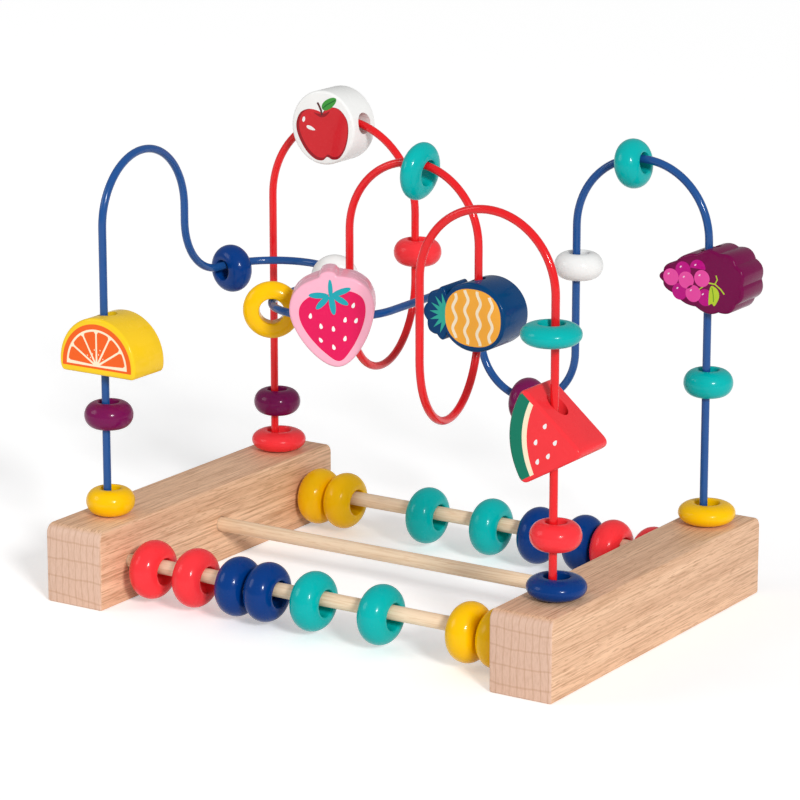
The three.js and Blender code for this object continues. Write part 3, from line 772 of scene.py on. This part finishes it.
for i in range(crown_bumps + 1):
    end = scallop(i + 0.5) if i < crown_bumps else outline[0]
    x, y = scallop(i)
    peak = (neck + bump_reach * (x - neck), oval_y + bump_reach * (y - oval_y))
    outline += bow(outline[-1], peak, end, 9)
block = sawn_block("pineapple_block", outline[:-1], pineapple_thick)
fruit_oval = [(print_x + print_wide * squared(c), oval_y + print_tall * squared(s))
              for c, s in arc(0, 0, 1, 0, 357, 119)]
waves = []
for middle in (-10.3, -3.6, 3.3, 10):
    reach = wave_reach * (1 - abs(middle / print_wide) ** wave_power) ** (1 / wave_power)
    line = [(print_x + middle + wave_swing * math.sin(wave_rate * y + middle), oval_y + y)
            for y in (reach * (i / 24 - 1) for i in range(49))]
    waves.append(stroke(line, wave_width))
tuft_leaves = [(104, 9.4), (128, 9.6), (152, 9), (176, 8.6), (200, 9), (224, 9.4), (250, 9.2)]
tuft = [blob(-9.8 + 4.9 * math.cos(math.radians(a)), oval_y + 5.6 * math.sin(math.radians(a)), long, 1.9, a, 0.75)
        for a, long in tuft_leaves]
tuft_ink = painted("tuft_ink", "#2cae9a")
prints = [ink(tuft_ink, 0.1 * i, leaf) for i, leaf in enumerate(tuft)]
prints += [ink(painted("pineapple_ink", "#fdb23c"), 1, fruit_oval), ink(cream_ink, 2, *waves)]
hang_fruit(block, painted("pineapple_gloss", "#003f72", dark_gloss), prints, pineapple_thick,
           "pineapple_block", "pineapple", (42.5, -2.6, 134.5))


# Apple: a white drum drilled across, riding high on the red wire. The print is a red apple with a
# darker edge, two white glints, a brown stalk and a green leaf.
apple_thick, apple_radius, apple_hole = 20.5, 19.15, 5.5
apple_scale, apple_drop = 0.99, 2.3
block = sawn_block("apple_block", arc(0, 0, apple_radius, 0, 356, 89), apple_thick, apple_hole, across=True)


def fit(points):
    return [(apple_scale * x, apple_scale * y - apple_drop) for x, y in points]


skin = [(0.6, 9.9), (3, 11.6), (7.4, 12.7), (12.4, 10.9), (15.9, 5.2), (15.5, -2), (12.6, -9.2), (8.2, -13.8),
        (4, -14.4), (0.8, -12.9), (-2.4, -14.5), (-7, -13.5), (-12, -8.7), (-15.6, -1), (-16, 5.4),
        (-12.7, 10.9), (-7.2, 12.6), (-2.2, 11.4)]
bright = [(0.7 + 0.93 * x, 0.55 + 0.94 * y) for x, y in skin]
dimple = [(-4.2, 10.6), (-1.6, 8.5), (0.8, 7.8), (3.6, 8.6), (5.8, 10.7), (3.2, 9.9), (0.7, 9.6), (-1.8, 9.9)]
stalk = stroke([(0.7, 9), (0.5, 11.4), (-0.3, 13.8), (-1.2, 15.6)], 1.1)
vein = stroke([(1.6, 12.4), (4.4, 14), (7.4, 15.2), (10.2, 16.3)], 0.55)
glints = [blob(-11, 7.4, 2.9, 1.7, 66), blob(-7.2, 2.6, 5.6, 1.9, -24, 0.3)]
dark_ink = painted("apple_shade_ink", "#98141f")
leaf_ink = painted("leaf_ink", "#3f9a3a")
prints = [ink(dark_ink, 0, fit(loop(skin))),
          ink(painted("apple_ink", "#d4262e"), 1, fit(loop(bright))),
          ink(dark_ink, 2, fit(loop(dimple))),
          ink(bead_paint["white"], 2, *(fit(glint) for glint in glints)),
          ink(painted("stalk_ink", "#5b2a2c"), 3, fit(stalk)),
          ink(leaf_ink, 3, fit(blob(6, 14.6, 10.4, 4.9, 26, 0.15))),
          ink(painted("leaf_vein_ink", "#1f6a2c"), 4, fit(vein))]
hang_fruit(block, bead_paint["white"], prints, apple_thick, "apple_block", "apple",
           (-90.19, 73, 218.51), tilt=-8)


# Grapes: an egg-shaped block with a bumpy edge, pointed at the left, dark plum. The print is a bunch
# of round pink and magenta grapes with glints, a forked twig and a lime leaf.
grape_thick, grape_radius = 22, 4.2
bunch_wide, bunch_tall, notch_depth, edge_steps = 23.5, 16, 1.3, 132
outline = []
for i in range(edge_steps):
    angle = 2 * math.pi * i / edge_steps
    notch = notch_depth * (1 - abs(math.sin(5.5 * angle)))
    egg = 0.95 + 0.33 * math.cos(angle)
    outline.append((0.5 + (bunch_wide - notch) * math.cos(angle),
                    bunch_tall + (bunch_tall - notch) * math.sin(angle) * egg))
foot = min(y for x, y in outline)
block = sawn_block("grape_block", [(x, y - foot) for x, y in outline], grape_thick)
back_grapes = [(-9.4, 20.4), (-1.4, 22.2), (-11, 9.6), (3, 8.2)]
front_grapes = [(-16, 16.2), (-7.6, 15.6), (1, 17.4), (-3.6, 9.4)]
glints = [blob(x - 1.3, y + 1.5, 1.3, 0.7, 40) for x, y in back_grapes + front_grapes]
twig = [stroke([(1, 17.4), (4.6, 15.6), (8.2, 15.4), (11.4, 13.2), (13.4, 11)], 0.7),
        stroke([(8.2, 15.4), (9.4, 17.8), (8.6, 19.8)], 0.6),
        stroke([(-3.6, 9.4), (0.6, 12.6), (4.6, 15.6)], 0.5)]
leaf = [(6.4, 14.4), (9.6, 12.8), (10.6, 9.6), (9.4, 6.4), (8, 4.6), (6.6, 5.6), (5, 4.8), (4.9, 8), (5.2, 11.6)]
vein = stroke([(6.6, 13.6), (7.4, 10), (7.6, 6.6)], 0.5)


def berries(centres):
    return [arc(x, y, grape_radius, 0, 354, 59) for x, y in centres]


lime_ink = painted("lime_ink", "#b8d233")
prints = [ink(painted("magenta_ink", "#c00684"), 0, *berries(back_grapes)),
          *(ink(lime_ink, 1 + 0.1 * i, branch) for i, branch in enumerate(twig)),
          ink(painted("grape_pink_ink", "#ec4fa6"), 2, *berries(front_grapes)),
          ink(painted("glint_ink", "#f6d3ea"), 3, *glints),
          ink(lime_ink, 2, loop(leaf)),
          ink(painted("lime_vein_ink", "#6f9a1e"), 3, vein)]
hang_fruit(block, painted("plum_gloss", "#740848", dark_gloss), prints, grape_thick, "grape_block",
           "grape", (128.5, 75.6, 148.69))


# Watermelon: a wedge with a bulging rind at the left and two flat cuts that meet in a round point,
# coral red. The rind side is green, and the print adds the rind, a pale line and white seeds.
melon_thick = 26
low, tip, high = Vector((-10.45, 0)), Vector((21.8, 18.2)), Vector((-10.45, 45.5))
corner_in, corner_up, corner_run, tip_run = 2.1, 2.4, 3, 6
rind_x, rind_tall, rind_bulge = -12.55, 40.7, 22.8
low_slope, high_slope, low_margin, high_margin = 0.564, 0.846, 2.2, 2.6


def towards(a, b, run):
    return tuple(a.lerp(b, run / (b - a).length))


outline = [towards(low, tip, corner_run), towards(tip, low, tip_run)]
outline += bow(outline[-1], tip, towards(tip, high, tip_run), 10) + [towards(high, tip, corner_run)]
outline += bow(outline[-1], high, (high.x - corner_in, high.y - corner_up), 10)
rind = bow(outline[-1], (-23.95, 22.75), (low.x - corner_in, low.y + corner_up), 28)
outline += rind + bow(rind[-1], low, outline[0], 10)[:-1]
foot = min(y for x, y in outline)
outline = [(x, y - foot) for x, y in outline]
block = sawn_block("watermelon_block", outline, melon_thick)
green_ink = painted("rind_ink", "#007a5f")
skin_faces = [f.index for f in block.data.polygons
              if f.normal.x < -0.12 and abs(f.normal.z) < 0.99 and f.center.x < -11.8 * mm]


def rind_line(inset):
    path = []
    for y in (i / 4 for i in range(8, 180)):
        share = (y - corner_up) / rind_tall
        x = rind_x - rind_bulge * share * (1 - share) + inset
        lowest = low_margin + low_slope * (x - low.x)
        highest = high.y - high_margin - high_slope * (x - low.x)
        if lowest < y < highest:
            path.append((x, y - foot))
    return path


drops = [(1.2, 28.4, 62), (-3.6, 20.2, 70), (6.6, 21.4, 58), (3, 14.6, 64), (-2.6, 11.2, 72)]
prints = [ink(green_ink, 0, rind_line(1.3) + rind_line(7.4)[::-1]),
          ink(cream_ink, 0.5, rind_line(7.2) + rind_line(9.8)[::-1]),
          ink(bead_paint["white"], 0, *(blob(x, y, 2.9, 1.7, a, 0.4) for x, y, a in drops))]
hang_fruit(block, bead_paint["coral"], prints, melon_thick, "watermelon_block", "watermelon",
           (128.5, -70.4, 96.87))
for index in skin_faces:
    block.data.polygons[index].material_index = block.data.materials.find("rind_ink")


low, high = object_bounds()
